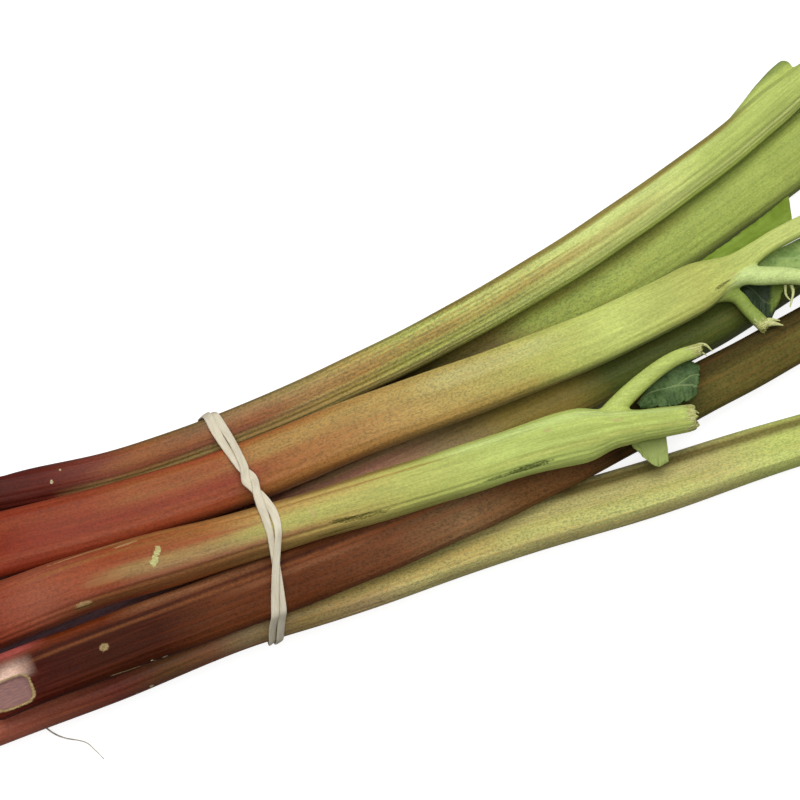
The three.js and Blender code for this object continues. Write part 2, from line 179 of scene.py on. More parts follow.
class Path:
    """A stalk's path, with the directions across it and out of its flat face."""

    def __init__(self, points, roll):
        self.points, self.length = evenly(catmull_rom(points), PATH_STEPS)
        self.along = unit(np.gradient(self.points, axis=0))
        level = unit(np.cross((0, 0, 1), self.along))
        upright = np.cross(self.along, level)
        turn = math.radians(roll)
        self.side = level * math.cos(turn) + upright * math.sin(turn)
        self.face = upright * math.cos(turn) - level * math.sin(turn)

    def pick(self, values, s):
        at = clamp(s / self.length) * (len(values) - 1)
        low = np.clip(at.astype(int), 0, len(values) - 2)
        share = (at - low)[:, None]
        return values[low] * (1 - share) + values[low + 1] * share

    def bend(self, uvs):
        """From (across, out of the face, along) to the row frame, in millimetres."""
        s = uvs[:, 2]
        beyond = (s - np.clip(s, 0, self.length))[:, None]
        along = self.pick(self.along, s)
        return (self.pick(self.points, s) + along * beyond
                + self.pick(self.side, s) * uvs[:, :1] + self.pick(self.face, s) * uvs[:, 1:2])

    def unbend(self, points):
        """The other way round, for points near the stalk."""
        p = np.array(points, float)
        s = np.array([np.argmin(lengths(self.points - q)) for q in p])
        s = s / (len(self.points) - 1) * self.length
        for _ in range(6):
            there = self.bend(np.stack([0 * s, 0 * s, s], 1))
            s = s + np.sum((p - there) * self.pick(self.along, s), 1)
        offset = p - self.bend(np.stack([0 * s, 0 * s, s], 1))
        return np.stack([np.sum(offset * self.pick(self.side, s), 1),
                         np.sum(offset * self.pick(self.face, s), 1), s], 1)


def smooth_table(table, share):
    """Each column of a table of (share, a, b) at the shares, joined by smooth steps."""
    rows = np.array(table, float)
    row = np.clip(np.searchsorted(rows[:, 0], share, side="left"), 1, len(rows) - 1)
    t = clamp((share - rows[row - 1, 0]) / (rows[row, 0] - rows[row - 1, 0]))
    t = smooth(t)[:, None]
    return rows[row - 1, 1:] * (1 - t) + rows[row, 1:] * t


def section(turn, width, thick, scoop):
    """A point of the D-shaped section: a round back and a flat face with a hollow."""
    c, s = np.cos(turn), np.sin(turn)
    across = np.sign(c) * np.abs(c) ** 0.85
    crown = CROWN * thick * np.abs(s) ** 0.6
    face = crown - (1 - across ** 2) ** 2 * (HOLLOW * thick + scoop)
    return width * across, np.where(s <= 0, thick * s, face)


def girth_at(stalk, s, length):
    widths = smooth_table(stalk["girth"], clamp(s / length))
    flare = 1 + BUTT_FLARE * np.exp(-(s / BUTT_FLARE_LENGTH) ** 2)
    return widths[:, 0] * flare, widths[:, 1]


def shaft(stalk, length, sides, step):
    """Rings (across, out, along) of a straight stalk, closed by rough cut ends."""
    count = int(length / step)
    turn = turns(sides)
    inset = np.array([0.72, 0.88, 0.95, 0.985])
    depth = np.array([0.0, 0.35, 0.8, 1.5])
    caps = np.array([0.001, 0.2, 0.4, 0.58])
    s = np.concatenate([0.25 * caps / 0.6, depth, np.linspace(2.5, length - 2.5, count),
                        length - depth[::-1], length - 0.25 * caps[::-1] / 0.6])
    shrink = np.concatenate([caps, inset, np.ones(count), inset[::-1], caps[::-1]])
    width, thick = girth_at(stalk, s, length)
    scoop = BUTT_SCOOP * np.exp(-(s / BUTT_SCOOP_LENGTH) ** 2)
    u, v = section(turn[None], width[:, None], thick[:, None], scoop[:, None])
    rings = np.stack([u * shrink[:, None], v * shrink[:, None],
                      np.broadcast_to(s[:, None], u.shape)], -1)
    return rings


def tube(points, radii, sides=28, step=0.8, tip=0.55):
    """Rings round a curve of points, with a rounded end."""
    line = catmull_rom(points)
    line = evenly(line, max(8, int(evenly(line, 2)[1] / step)))[0]
    along = unit(np.gradient(line, axis=0))
    level = unit(np.cross(along, (0.3, 1.0, 0.1)))
    upright = np.cross(along, level)
    share = np.linspace(0, 1, len(line))
    radius = radii[0] + (radii[1] - radii[0]) * share
    turn = turns(sides)
    rings = (line[:, None] + radius[:, None, None]
             * (level[:, None] * np.cos(turn)[None, :, None]
                + upright[:, None] * np.sin(turn)[None, :, None]))
    ends = [rings[:1] * k + line[:1, None] * (1 - k) for k in (0.01, 0.7)]
    tips = [rings[-1:] * k + (line[-1:, None] + along[-1:, None] * d) * (1 - k)
            + along[-1:, None] * d * k for k, d in ((0.85, 0.5), (tip, 0.7), (0.01, 0.6))]
    return np.concatenate(ends + [rings] + tips)


def rings_to_faces(shape, start=0):
    """Quads between neighbouring rings, and a face over each end."""
    count, sides = shape[:2]
    ring = start + np.arange(count * sides).reshape(count, sides)
    right = np.roll(ring, -1, 1)
    quads = np.stack([ring[:-1], right[:-1], right[1:], ring[1:]], -1).reshape(-1, 4)
    return quads.tolist() + [ring[0, ::-1].tolist(), ring[-1].tolist()]


def new_mesh(name, points, faces):
    mesh = bpy.data.meshes.new(name)
    mesh.from_pydata(np.asarray(points).reshape(-1, 3).tolist(), [], faces)
    mesh.update()
    return mesh


def read(items, key, each, kind=np.float32):
    """One mesh property of all its points, edges, faces or corners, a row for each."""
    flat = np.empty(len(items) * each, kind)
    items.foreach_get(key, flat)
    return flat.reshape(-1, each)


def set_coords(mesh, points):
    mesh.vertices.foreach_set("co", np.asarray(points, np.float32).ravel())
    mesh.update()


def placed(name, data):
    """A new object in the scene that shows the data."""
    made = bpy.data.objects.new(name, data)
    bpy.context.scene.collection.objects.link(made)
    return made


def relax(points, pairs, weight, rounds):
    """Moves every point towards the middle of its neighbours, by its weight."""
    count = np.zeros(len(points))
    np.add.at(count, pairs.ravel(), 1)
    for _ in range(rounds):
        total = np.zeros_like(points)
        np.add.at(total, pairs[:, 0], points[pairs[:, 1]])
        np.add.at(total, pairs[:, 1], points[pairs[:, 0]])
        points = points + (total / count[:, None] - points) * weight[:, None]
    return points


# ---- colours ----
PALETTE = {
    "oxblood": 0x421610, "wine": 0x5C2218, "garnet": 0x74382A, "maroon": 0x3E120A,
    "brick": 0x7C2A17, "russet": 0x853921, "rust": 0x8E4526, "copper": 0x965E30, "clay": 0x9E703C,
    "ochre": 0xAA8A4E, "straw": 0xAF9E58, "khaki": 0xA09450, "olive": 0x8C7C3C, "moss": 0x94A24C,
    "leaf": 0xAEB25E, "lime": 0xBDC86E, "pale_lime": 0xC6D07C, "umber": 0x3C180A,
    "chestnut": 0x6C3014, "bark": 0x6B4A2A, "taupe": 0x84583A, "drab": 0x6A5F30, "dusk": 0x525C28,
    "mauve": 0x7C5A60, "rose": 0xA8524C, "blush": 0xDFBCA8, "cream": 0xDCD6A8, "buff": 0xB9A271,
    # The 0x2E2210 brown is painted shade, used only on the brown stalk where it lies in shade.
    "gash": 0x4C4A18, "painted_shade_brown": 0x2E2210, "sand": 0x96805A, "plum": 0x80605F, "ridge": 0x8C5630,
    "fawn": 0x7E6040, "tawny": 0x94764E, "wheat": 0x9C8852, "sienna": 0x935038,
    "terracotta": 0xA65C46, "rosewood": 0xBE8A70, "peat": 0x5A3018, "loam": 0x6A4228,
    "pear": 0xA1B059, "glow": 0xD4E27E, "key_lime": 0xB2C067, "mint": 0xC2D488, "heath": 0x625A2C,
    "raw": 0xC3C383, "scuff": 0xA87C50, "frayed": 0xA6A452, "husk": 0xC8CB8C, "hay": 0xBDB674,
    "sage": 0x8A9A50, "fern": 0x8A9C4A, "shadow_olive": 0x4A4A20, "leaf_bright": 0x768C30,
    "leaf_fresh": 0x839A3C, "leaf_grey": 0x587040, "leaf_pale": 0x9CB468, "leaf_dark": 0x3A5228,
    "leaf_night": 0x24331A, "leaf_olive": 0x66762C, "leaf_mid": 0x98A65C, "leaf_vein": 0xAABB80,
    "leaf_dull": 0x7C9A52, "rubber": 0xDCD3BD, "rubber_line": 0xCCC2A9, "rubber_stain": 0xAFA68C,
    "rubber_dust": 0xEAE5D8, "fibre_dark": 0x8F8676, "fibre": 0xC9C0AC,
}


def linear(code):
    c = np.array([(code >> 16) & 255, (code >> 8) & 255, code & 255]) / 255
    return np.where(c <= 0.04045, c / 12.92, ((c + 0.055) / 1.055) ** 2.4)


def colour(name):
    return linear(PALETTE[name])


# along: [millimetres from the butt, colour]. stripes: a lengthwise band of colour at a
# turn about the stalk, as (turn, half width, from, to, colour, strength), in degrees and
# millimetres. speck: [millimetres from the butt, how strong the fine brown dots are].
# marks: (kind, millimetres from the butt, turn, half length, half width, slant).
# veins: a colour for each vein stub. torn: the leaf end is torn off, not cut.
LOOKS = {
    "stalk_a_far": dict(
        slot="skin_a", ribs=0.05, sheen=0.12,
        along=[(0, "oxblood"), (27, "wine"), (48, "garnet"), (68, "ridge"), (90, "fawn"),
               (108, "tawny"), (131, "wheat"), (158, "straw"), (176, "leaf"), (204, "lime"),
               (272, "pale_lime"), (302, "pale_lime"), (330, "key_lime"), (396, "key_lime")],
        stripes=[
            (135, 14, 60, 210, "drab", 0.5), (130, 16, 190, 356, "olive", 0.9),
            (143, 9, 190, 350, "olive", 0.85), (158, 4, 200, 345, "mint", 0.3),
            (184, 20, 50, 122, "ridge", 0.85), (184, 18, 112, 200, "ridge", 0.4),
            (190, 18, 185, 300, "ochre", 0.4), (163, 4, 60, 230, "ridge", 0.4),
            # Painted shade: the thin oxblood line at 204 darkens the groove above the khaki strip.
            (196, 9, 40, 118, "garnet", 0.5), (204, 4, 22, 235, "oxblood", 0.5),
            # Painted shadow: the oxblood stripe at 244 darkens the lower side near the butt, where C's
            # shadow falls.
            (222, 18, 38, 130, "wheat", 0.8), (244, 12, 15, 70, "oxblood", 0.7),
            # Painted light: the pale_lime stripe at 226 and the glow stripe at 252 lighten the lower
            # side from 200 mm on.
            (240, 18, 118, 215, "hay", 0.7), (226, 16, 215, 396, "pale_lime", 0.7),
            (252, 20, 200, 396, "glow", 1.0), (173, 3, 110, 258, "ridge", 0.45),
            (182, 3, 100, 268, "ridge", 0.4), (191, 3, 110, 262, "ridge", 0.45),
            (151, 3, 110, 280, "drab", 0.35), (213, 3, 120, 280, "olive", 0.5),
            # Painted shade: the oxblood stripe at 255 darkens the lower edge near the butt.
            (255, 6, -20, 110, "oxblood", 0.8),
        ],
        speck=[(0, 0.25), (100, 0.7), (150, 1.05), (225, 1.05), (265, 0.4), (300, 0.15), (396, 0.0)],
        marks=[("pale", 30, 183, 0.7, 0.7, 0), ("pale", 34, 165, 0.5, 0.5, 0)],
        veins=["sage"],
    ),
    "stalk_b_far_under": dict(
        slot="skin_b", ribs=0.04, sheen=0.12,
        # Painted shade: the umber and shadow_olive stops darken the stretch from 165 to 220 mm, where
        # the stalk lies in the dark gap between A and C.
        along=[(0, "pale_lime"), (12, "straw"), (40, "rust"), (120, "copper"), (165, "umber"),
               (195, "shadow_olive"), (220, "drab"), (240, "moss"), (280, "pear"), (414, "pear")],
        # Painted shade: the dusk stripe at 350 darkens the lower edge from 230 mm on.
        stripes=[(350, 28, 230, 420, "dusk", 0.6), (235, 25, 200, 320, "olive", 0.35),
                 (285, 16, 240, 414, "moss", 0.4)],
        speck=[(0, 0.2), (160, 0.8), (260, 0.95), (320, 0.45), (414, 0.2)],
        marks=[], veins=[],
    ),
    "stalk_c_broad": dict(
        slot="skin_c", ribs=0.03, sheen=0.12,
        along=[(0, "brick"), (40, "russet"), (85, "rust"), (105, "rust"), (122, "copper"),
               (145, "clay"), (172, "ochre"), (205, "straw"), (240, "leaf"), (270, "lime"),
               (310, "leaf"), (335, "lime"), (382, "pale_lime")],
        stripes=[
            (150, 26, 110, 235, "clay", 0.4), (20, 10, 120, 260, "clay", 0.5),
            (2, 9, 110, 330, "olive", 0.45), (176, 11, 122, 255, "buff", 0.8),
            # Painted highlight: the three stripes at 62 lighten the upper middle of the stalk from 60
            # to 245 mm.
            (62, 24, 60, 120, "clay", 0.5), (62, 24, 112, 205, "straw", 0.4),
            (62, 24, 190, 245, "husk", 0.35), (20, 14, 60, 118, "bark", 0.4),
            (178, 14, 262, 350, "sage", 0.8), (105, 10, -10, 120, "brick", 0.5),
            (150, 16, -10, 90, "brick", 0.4), (60, 12, 10, 110, "rust", 0.5),
            (128, 7, -10, 80, "rust", 0.4), (22, 3, 150, 330, "olive", 0.5),
            (30, 3, 150, 300, "pale_lime", 0.3), (166, 8, 250, 334, "fern", 0.5),
            (176, 6, 290, 332, "pale_lime", 0.6),
        ],
        speck=[(0, 0.32), (90, 0.6), (140, 0.85), (225, 0.85), (262, 0.15), (382, 0.0)],
        marks=[("dark", 318, 124, 6.0, 0.7, 0.6), ("tan", 324, 118, 3.0, 0.5, 0.6)],
        veins=["mint", "fern"],
    ),
    "stalk_d_under": dict(
        slot="skin_d", ribs=0.035, sheen=0.1,
        # The rosewood stops at 135 and 168 mm are partly the stalk's own pink-brown and partly painted
        # light, lighter where C shades it.
        along=[(0, "mauve"), (50, "mauve"), (90, "taupe"), (135, "rosewood"), (168, "rosewood"),
               (195, "sand"), (225, "olive"), (250, "olive"), (272, "dusk"), (385, "dusk")],
        # Painted light: the buff stripe at 224 lightens the upper side, which C shades.
        stripes=[(224, 22, 140, 258, "buff", 0.75), (255, 14, 200, 300, "drab", 0.3),
                 # Painted shade: the bark stripe at 335 darkens the lower side from 130 to 225 mm.
                 (335, 30, 130, 225, "bark", 0.75)],
        speck=[(0, 0.2), (140, 0.5), (260, 0.5), (385, 0.5)],
        marks=[], veins=[],
    ),
    "stalk_e_short": dict(
        slot="skin_e", ribs=0.045, sheen=0.12,
        along=[(0, "brick"), (30, "sienna"), (60, "rust"), (95, "copper"), (120, "ochre"),
               (150, "straw"), (175, "leaf"), (215, "key_lime"), (289, "key_lime")],
        stripes=[
            (284, 16, 56, 112, "wheat", 0.65), (284, 16, 102, 150, "khaki", 0.7),
            (302, 18, 66, 130, "sand", 0.45), (279, 26, 112, 190, "leaf", 0.6),
            (330, 22, 40, 122, "bark", 0.7), (215, 12, 60, 178, "clay", 0.6),
            (350, 18, 120, 200, "drab", 0.25), (210, 14, 128, 186, "drab", 0.5),
            (300, 10, 200, 289, "leaf", 0.6), (196, 9, 30, 195, "bark", 0.6),
            (310, 7, 30, 140, "garnet", 0.5), (240, 5, 30, 190, "clay", 0.5),
            (262, 4, 30, 120, "rust", 0.5), (232, 16, 190, 289, "mint", 0.5),
            (272, 10, 225, 289, "moss", 0.5),
        ],
        speck=[(0, 0.4), (90, 0.55), (140, 0.45), (185, 0.1), (230, 0.0), (289, 0.0)],
        marks=[
            ("raw", 77.6, 262, 1.2, 1.5, -2.0), ("raw", 76.8, 268, 1.1, 1.3, -2.0),
            ("raw", 76, 274, 1.3, 1.6, -2.0), ("raw", 75, 281, 1.5, 1.5, -2.0),
            ("scuff", 55, 287, 9.0, 1.5, -0.5), ("scuff", 61, 281, 5.0, 1.4, 0),
            ("tan", 52, 212, 16.0, 0.6, 0.5), ("scuff", 60, 206, 14.0, 1.1, 0.4),
            ("tan", 66, 229, 5.0, 0.7, 0.5), ("tan", 45, 324, 3.6, 1.3, 0),
            ("dark", 45, 332, 4.2, 0.5, 0), ("tan", 136, 276, 0.8, 2.4, -2),
            ("dark", 153, 320, 10.5, 1.2, -0.7), ("dark", 146, 312, 5.0, 0.8, -0.7),
            ("dark", 143, 350, 9.0, 0.6, 0), ("slit", 214, 326, 14.0, 0.8, 0),
            ("slit", 221, 324, 9.0, 1.2, 0), ("tan", 259, 262, 3.2, 0.6, 0),
            ("tan", 231, 258, 1.6, 0.7, 0),
        ],
        veins=["key_lime"], torn=True,
    ),
    "stalk_f_brown": dict(
        slot="skin_f", ribs=0.035, sheen=0.04,
        along=[(0, "wine"), (18, "maroon"), (45, "umber"), (66, "umber"), (90, "peat"), (124, "peat"),
               # Painted shadow: the near-black stops at 258 and 285 mm darken the stalk where it lies
               # in shade.
               (160, "loam"), (190, "fawn"), (215, "bark"), (240, "bark"), (258, "painted_shade_brown"),
               (285, "shadow_olive"), (310, "heath"), (385, "heath")],
        stripes=[
            (32, 20, 8, 70, "chestnut", 0.7), (32, 20, 58, 120, "taupe", 0.8),
            (190, 18, -10, 90, "wine", 0.7), (51, 3, 20, 150, "umber", 0.8),
            (60, 4, 15, 240, "ridge", 0.5), (186, 16, 58, 230, "taupe", 0.6),
            # Painted shade: the dark stripes at 18 and 48 darken the upper strip from 250 mm on.
            (74, 9, 98, 152, "taupe", 0.6), (18, 28, 250, 400, "painted_shade_brown", 0.9),
            (48, 28, 265, 400, "painted_shade_brown", 0.6), (80, 4, 265, 400, "drab", 0.7),
            (26, 16, -10, 22, "rose", 0.9), (68, 24, -10, 16, "blush", 1.0),
        ],
        speck=[(0, 0.45), (100, 0.8), (200, 1.0), (385, 0.8)],
        marks=[("tan", 46, 90, 2.0, 1.5, 0), ("tan", 51, 165, 7.0, 0.6, -1.2),
               ("tan", 40, 176, 5.0, 0.7, 0), ("pale", 66, 166, 1.0, 0.6, 0),
               ("pale", 62, 174, 0.7, 0.7, 0), ("pale", 61, 160, 0.7, 0.5, 0)],
        veins=[],
    ),
    "stalk_g_near": dict(
        slot="skin_g", ribs=0.05, sheen=0.12,
        along=[(0, "terracotta"), (14, "terracotta"), (34, "sienna"), (55, "garnet"), (75, "bark"),
               (92, "taupe"), (106, "sand"), (132, "wheat"), (155, "buff"), (180, "hay"), (300, "hay"),
               (330, "lime"), (373, "lime")],
        stripes=[(62, 18, 235, 400, "drab", 0.85), (200, 18, 30, 120, "wine", 0.5),
                 # Painted light: the husk stripe at 50 and the terracotta stripe at 68 lighten the top
                 # from 12 to 232 mm, where the stalks above shade it.
                 (150, 14, 20, 70, "wine", 0.4), (50, 18, 115, 232, "husk", 0.6),
                 (68, 18, 12, 72, "terracotta", 0.6), (132, 22, 140, 215, "straw", 0.8),
                 (132, 22, 212, 300, "leaf", 0.5), (150, 20, 250, 400, "pale_lime", 0.4)],
        speck=[(0, 0.4), (90, 0.7), (140, 1.1), (260, 1.0), (310, 0.8), (373, 0.6)],
        marks=[("pale", 66, 190, 0.9, 0.7, 0), ("pale", 60, 196, 0.6, 0.6, 0)],
        veins=[],
    ),
}


def tone(look, s, turn):
    """The smooth colour of the skin at millimetres along and radians about the stalk."""
    places = [place for place, _ in look["along"]]
    ramp = np.array([colour(name) for _, name in look["along"]])
    base = np.stack([np.interp(s, places, ramp[:, k]) for k in range(3)], 1)
    for at, half, start, end, name, strength in look["stripes"]:
        off = np.abs((np.degrees(turn) - at + 180) % 360 - 180) / half
        share = smooth(clamp(1.25 - off))
        fade = min(18.0, 0.35 * (end - start))
        inside = clamp((s - start) / fade + 0.5) * clamp((end - s) / fade + 0.5)
        base = base + (colour(name) - base) * (share * inside * strength)[:, None]
    return base


def ribs(turn, s, seed, depth):
    """Height of the lengthwise ribs and of the slow waves of the skin, in millimetres."""
    draw = np.random.default_rng(seed)
    height = np.zeros_like(turn)
    for k in (13, 17, 22, 26, 31):
        phase, drift = draw.uniform(0, 2 * math.pi, 2)
        height += depth * np.cos(k * turn + phase + 0.8 * np.sin(s / 55 + drift))
    for wave in (140.0, 75.0, 41.0):
        phase, shift = draw.uniform(0, 2 * math.pi, 2)
        k = draw.integers(1, 4)
        height += 0.12 * np.sin(2 * math.pi * s / wave + phase) * np.cos(k * turn + shift)
    return height


# ---- stalk meshes ----
SQUEEZE = 2.0  # a stalk is remeshed this much shortened, because it changes slowly along
VOXEL = 0.55
FORK_SIDES, FORK_STEP = 72, 3.0  # before remeshing
PLAIN_SIDES, PLAIN_STEP = 128, 1.15
CAP_RINGS = 5  # rings of a plain stalk's cut end that show flesh
SHAFT_REACH = 15.0  # nothing further from the middle of a stalk belongs to its shaft
CROTCH_REACH = 5.0  # how far round a vein its root is softened into the stalk


def remeshed(mesh, voxel):
    work = placed("remesh_work", mesh)
    mod = work.modifiers.new("voxels", "REMESH")
    mod.mode = "VOXEL"
    mod.voxel_size = voxel
    made = bpy.data.meshes.new_from_object(work.evaluated_get(bpy.context.evaluated_depsgraph_get()))
    bpy.data.objects.remove(work)
    return made


def tear(uvs, point, along, radius, draw):
    """The pull of a torn end's ragged rim along it, and how frayed the skin is there."""
    offset = uvs - point
    deep = offset @ along
    across = offset - deep[:, None] * along
    side = unit(np.cross(along, (0.31, 0.95, 0.1)))
    turn = np.arctan2(across @ np.cross(along, side), across @ side)
    away = lengths(across)
    near = (away < radius + 1.5) & (deep > -8) & (deep < 3)
    jag = sum(draw.uniform(0.25, 0.6) * np.cos(k * turn + draw.uniform(0, 6)) for k in (1, 3, 5, 8, 13))
    jag = jag * clamp(away / radius)
    pull = jag * clamp((deep + 2.5) / 2.5) * near
    frayed = clamp((deep + 4.5 + 1.5 * jag) / 1.5) * near
    return pull[:, None] * along, frayed


def fork_mesh(name, stalk, path, torn):
    """The shaft and its torn veins as one skin, with soft crotches."""
    rings = shaft(stalk, path.length, FORK_SIDES, FORK_STEP)
    parts = [rings]
    tips = []
    for vein in stalk["veins"]:
        line = path.unbend(vein["points"])
        parts.append(tube(line, vein["radii"]))
        if not vein.get("whole"):
            tips.append((line[-1], unit(line[-1] - line[-2]), vein["radii"][1]))
    points, faces, start = [], [], 0
    for part in parts:
        points.append(part.reshape(-1, 3) * (1, 1, 1 / SQUEEZE))
        faces += rings_to_faces(part.shape, start)
        start += part.shape[0] * part.shape[1]
    mesh = remeshed(new_mesh(name, np.concatenate(points), faces), VOXEL)
    spots = read(mesh.vertices, "co", 3).astype(float)
    pairs = read(mesh.edges, "vertices", 2, np.int32)
    near = np.zeros(len(spots))
    for vein in stalk["veins"]:
        line = path.unbend(vein["points"]) * (1, 1, 1 / SQUEEZE)
        for point in line[:3]:
            away = lengths(spots - point)
            near = np.maximum(near, np.exp(-(away / CROTCH_REACH) ** 2))
    spots = relax(spots, pairs, np.full(len(spots), 0.5), 6)
    spots = relax(spots, pairs, 0.6 * near, 12)
    uvs = spots * (1, 1, SQUEEZE)
    draw = np.random.default_rng(len(name))
    end = np.array([0, 0, path.length])
    on_shaft = lengths(uvs[:, :2]) < SHAFT_REACH
    flesh = clamp((0.6 - uvs[:, 2]) / 0.4)
    if torn:
        tips.append((end, np.array([0, 0, 1.0]), stalk["girth"][-1][1]))
    else:
        flesh = np.maximum(flesh, clamp((uvs[:, 2] - end[2] + 1.2) / 0.5) * on_shaft)
    frayed = np.zeros(len(uvs))
    for point, along, radius in tips:
        pull, share = tear(uvs, point, along, radius, draw)
        uvs = uvs + pull
        frayed = np.maximum(frayed, share)
    return mesh, uvs, flesh, frayed


def plain_mesh(name, stalk, path):
    """A stalk without veins, closed by cut ends."""
    rings = shaft(stalk, path.length, PLAIN_SIDES, PLAIN_STEP)
    mesh = new_mesh(name, rings, rings_to_faces(rings.shape))
    uvs = rings.reshape(-1, 3).copy()
    ring = np.repeat(np.arange(rings.shape[0]), rings.shape[1])
    flesh = ((ring < CAP_RINGS) | (ring >= rings.shape[0] - CAP_RINGS)).astype(float)
    return mesh, uvs, flesh, 0 * flesh


def store(mesh, name, kind, values):
    layer = mesh.attributes.new(name, kind, "POINT")
    key = {"FLOAT": "value", "FLOAT_VECTOR": "vector", "FLOAT_COLOR": "color"}[kind]
    layer.data.foreach_set(key, np.asarray(values, np.float32).ravel())


SCARRED = "stalk_f_brown"
SCAR_ACROSS, SCAR_ALONG = (-3.6, 5.4), (9.0, 7.5)  # middle and half size
SCAR_DEPTH, SCAR_RIM = 1.1, 0.5


def butt_scar(uvs):
    """The recess with a raised rim where the dark stalk's sheath was torn off."""
    across = (uvs[:, 0] - SCAR_ACROSS[0]) / SCAR_ACROSS[1]
    along = (uvs[:, 2] - SCAR_ALONG[0]) / SCAR_ALONG[1]
    inside = 1 - (across ** 4 + along ** 4) ** 0.25
    on_face = clamp(uvs[:, 1] / 3.0)
    deep = clamp(inside / 0.12)
    rim = np.exp(-(inside / 0.1) ** 2)
    return (SCAR_RIM * rim - SCAR_DEPTH * deep) * on_face, inside, on_face


# Thin strips that still hang from the torn ends: (points, root and tip radius).
SHREDS = {
    "stalk_e_short": [
        ([(89.5, -26.6, 37.4), (91.6, -25.6, 37.2), (94.3, -26.4, 36.6), (95.7, -28.9, 35.7)],
         (1.1, 0.3)),
        ([(89.8, -28.6, 37), (91.6, -29, 36.6), (92.6, -30, 36)], (0.8, 0.25)),
        ([(75.5, -46.6, 35.5), (77.6, -46.8, 35.6), (78.6, -47.4, 35.2)], (0.7, 0.3)),
        ([(76, -49.5, 36.8), (77.6, -50, 36.9), (78.4, -50.8, 36.6)], (0.8, 0.3)),
    ],
    "stalk_c_broad": [
        ([(125.6, -22.5, 21), (129, -23.6, 20.8), (132.2, -25.6, 20.4)], (1.9, 0.35)),
        ([(126, -21.4, 21), (129.4, -22, 21), (131.8, -23.4, 20.8)], (1.3, 0.3)),
        ([(142.6, -12.6, 24.6), (142.2, -15.6, 23.2), (139, -19.8, 21.8)], (0.8, 0.3)),
        ([(146.4, -14.6, 24.6), (146, -18, 23.2), (143, -21.6, 21.8)], (0.9, 0.3)),
        ([(140.6, -11.4, 24), (139.4, -15, 22.4), (140.4, -18, 21.4)], (0.7, 0.25)),
        ([(149.4, -16.6, 24.4), (149.6, -20, 23), (147.4, -22.6, 22)], (0.9, 0.3)),
    ],
}


def add_shreds(mesh, points, shreds):
    """The mesh again, with the strips after its own points."""
    sizes = read(mesh.polygons, "loop_total", 1, np.int32).ravel()
    corners = read(mesh.loops, "vertex_index", 1, np.int32).ravel()
    faces = [face.tolist() for face in np.split(corners, np.cumsum(sizes)[:-1])]
    for line, radii in shreds:
        rings = tube(line, radii, sides=8, step=0.4, tip=0.6)
        faces += rings_to_faces(rings.shape, len(points))
        points = np.concatenate([points, rings.reshape(-1, 3)])
    return new_mesh(mesh.name, points, faces), points


def tint_veins(shade, straight, rim, stalk, look, path):
    """Colours the vein stubs, where they stand off the shaft."""
    for vein, tint in zip(stalk["veins"], look["veins"]):
        line = evenly(catmull_rom(path.unbend(vein["points"])), 60)[0]
        away = np.full(len(straight), np.inf)
        for point in line:
            away = np.minimum(away, lengths(straight - point))
        share = clamp((vein["radii"][0] + 2.0 - away) / 1.5) * clamp((rim - 1.02) / 0.25)
        shade = shade + (colour(tint) - shade) * share[:, None]
    return shade


def build_stalk(name, seed):
    stalk, look = STALKS[name], LOOKS[name]
    path = Path(stalk["path"], stalk["roll"])
    if stalk["veins"]:
        mesh, uvs, flesh, frayed = fork_mesh(name, stalk, path, look.get("torn", False))
    else:
        mesh, uvs, flesh, frayed = plain_mesh(name, stalk, path)
    width, thick = girth_at(stalk, uvs[:, 2], path.length)
    u, v = uvs[:, 0] / width, uvs[:, 1] / thick
    turn = np.arctan2(v, u)
    rim = np.hypot(u, v)
    on_shaft = clamp((1.28 - rim) / 0.12) * (1 - flesh)
    set_coords(mesh, uvs)
    out = read(mesh.vertex_normals, "vector", 3).astype(float)
    rise = ribs(turn, uvs[:, 2], seed, look["ribs"]) * on_shaft
    scar = np.zeros(len(uvs))
    if name == SCARRED:
        dip, inside, on_face = butt_scar(uvs)
        rise = rise + dip
        scar = np.clip(inside * 4, -1, 1) * on_face - (1 - on_face)
    straight = uvs.copy()
    uvs = uvs + out * rise[:, None]
    points = path.bend(uvs)
    shade = tone(look, straight[:, 2], turn)
    shade = tint_veins(shade, straight, rim, stalk, look, path)
    places = [place for place, _ in look["speck"]]
    speck = np.interp(straight[:, 2], places, [value for _, value in look["speck"]])
    if name in SHREDS:
        own = len(points)
        mesh, points = add_shreds(mesh, points, SHREDS[name])
        added = len(points) - own
        straight = np.concatenate([straight, path.unbend(points[own:])])
        shade = np.concatenate([shade, np.tile(colour("husk"), (added, 1))])
        flesh, frayed, scar, speck = (np.concatenate([values, np.zeros(added)])
                                      for values in (flesh, frayed, scar, speck))
    points[:, 2] = np.maximum(points[:, 2], 0)
    set_coords(mesh, np.minimum(points * MM, cad_high))
    store(mesh, "straight", "FLOAT_VECTOR", straight)
    store(mesh, "tone", "FLOAT_COLOR", np.concatenate([shade, np.ones((len(shade), 1))], 1))
    layers = {"flesh": flesh, "frayed": frayed, "scar": scar, "speck": speck}
    for layer, values in layers.items():
        store(mesh, layer, "FLOAT", values)
    piece = add_piece(name.replace("stalk", "rhubarb"), mesh, [name])
    mesh.materials.append(skin_material(look["slot"], stalk, look, path, name, seed))
    return piece


def add_piece(name, mesh, nodes):
    mesh.shade_smooth()
    piece = placed(name, mesh)
    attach(piece, "root")
    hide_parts(*nodes)
    return piece


